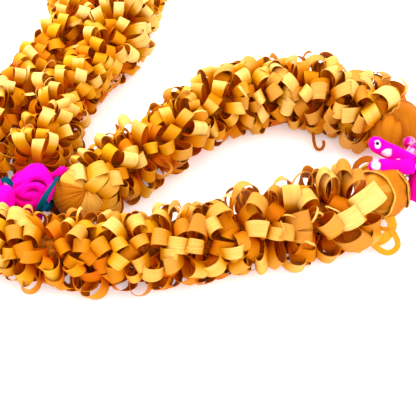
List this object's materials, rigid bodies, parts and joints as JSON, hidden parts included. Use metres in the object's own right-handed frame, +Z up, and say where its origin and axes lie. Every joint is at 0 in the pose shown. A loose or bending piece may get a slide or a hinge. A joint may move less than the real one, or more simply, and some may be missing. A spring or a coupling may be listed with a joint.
{
  "type": "sandalwood garland",
  "caption": "Ceremonial garland of looped sandalwood shavings strung on a ring of thread, with wrapped buds and coloured cloth bows between the strands, laid folded or hung round a neck.",
  "frame": {"origin": "middle of the folded garland's bounding box in plan, on the table it lies on", "axes": "+Z up from the table; +Y towards the folded neck strands; +X towards the bottom bow, so the two lower strands run along X"},
  "size_m": [0.34, 0.3726, 0.0481],
  "materials": {
    "shaving": "thin golden veneer, satin, with fine grain along the strip",
    "bud_shaving": "darker red-gold veneer, satin, pleated",
    "magenta_cloth": "matt magenta cloth with pale patches",
    "teal_ribbon": "matt teal ribbon",
    "cotton": "matt undyed thread"
  },
  "bodies": {
    "root": {"bottom_bow": "magenta_cloth", "bottom_collar": "teal_ribbon", "drop_left_bud_end": "bud_shaving", "drop_left_bud_start": "bud_shaving", "drop_left_loops_1": "shaving", "drop_left_loops_2": "shaving", "drop_left_loops_3": "shaving", "drop_left_loops_4": "shaving", "drop_right_bud_end": "bud_shaving", "drop_right_bud_start": "bud_shaving", "drop_right_loops_1": "shaving", "drop_right_loops_2": "shaving", "drop_right_loops_3": "shaving", "drop_right_loops_4": "shaving", "neck_left_bud_end": "bud_shaving", "neck_left_loops_1": "shaving", "neck_left_loops_2": "shaving", "neck_left_loops_3": "shaving", "neck_left_loops_4": "shaving", "neck_right_bud_start": "bud_shaving", "neck_right_loops_1": "shaving", "neck_right_loops_2": "shaving", "neck_right_loops_3": "shaving", "neck_right_loops_4": "shaving", "side_left_bow": "magenta_cloth", "side_left_collar": "teal_ribbon", "side_right_bow": "magenta_cloth", "side_right_collar": "teal_ribbon", "thread": "cotton", "top_bow": "magenta_cloth", "top_collar": "teal_ribbon"}
  },
  "joints": []
}
